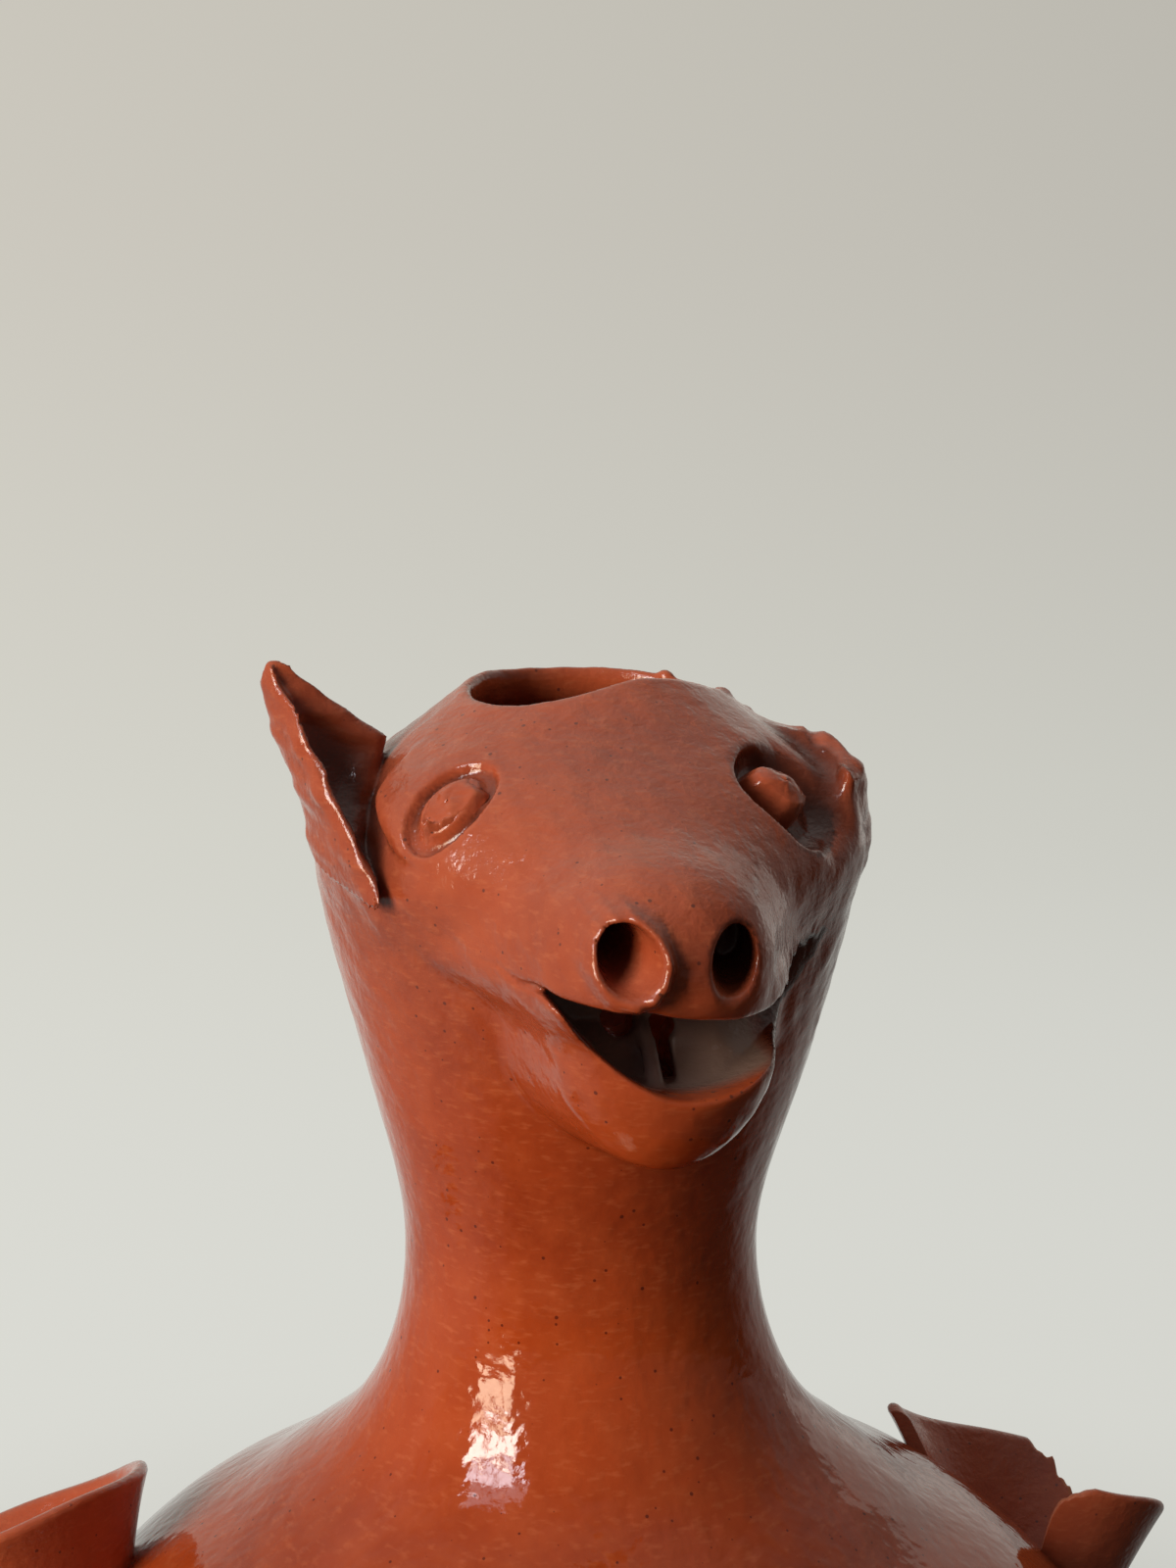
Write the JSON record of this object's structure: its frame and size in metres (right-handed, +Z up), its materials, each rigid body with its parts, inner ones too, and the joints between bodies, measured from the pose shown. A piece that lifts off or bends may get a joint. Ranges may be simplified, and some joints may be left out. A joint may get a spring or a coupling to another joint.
{
  "type": "pitcher",
  "caption": "Glazed red earthenware pitcher: round belly, waisted neck shaped as a snouted beast's head, filled at the crown and poured from the open mouth, horn cups on the shoulders.",
  "frame": {"origin": "centre of the flat base, on the surface the pitcher stands on", "axes": "+Z up the pitcher's turning axis; the beast looks along -Y; +X is the beast's left side"},
  "size_m": [0.2496, 0.214, 0.3014],
  "materials": {
    "body_glazed_clay": "glossy lead glaze over red clay",
    "neck_glazed_clay": "glossy lead glaze over red clay",
    "head_glazed_clay": "glossy lead glaze over red clay",
    "muzzle_glazed_clay": "glossy lead glaze over red clay",
    "lower_jaw_glazed_clay": "glossy lead glaze over red clay",
    "right_ear_glazed_clay": "glossy lead glaze over red clay",
    "left_ear_glazed_clay": "glossy lead glaze over red clay",
    "right_eye_glazed_clay": "glossy lead glaze over red clay",
    "left_eye_glazed_clay": "glossy lead glaze over red clay",
    "right_cup_glazed_clay": "glossy lead glaze over red clay",
    "left_cup_glazed_clay": "glossy lead glaze over red clay",
    "handle_glazed_clay": "glossy lead glaze over red clay"
  },
  "bodies": {
    "root": {"body": "body_glazed_clay", "neck": "neck_glazed_clay", "head": "head_glazed_clay", "muzzle": "muzzle_glazed_clay", "lower_jaw": "lower_jaw_glazed_clay", "right_ear": "right_ear_glazed_clay", "left_ear": "left_ear_glazed_clay", "right_eye": "right_eye_glazed_clay", "left_eye": "left_eye_glazed_clay", "right_cup": "right_cup_glazed_clay", "left_cup": "left_cup_glazed_clay", "handle": "handle_glazed_clay"}
  },
  "joints": []
}
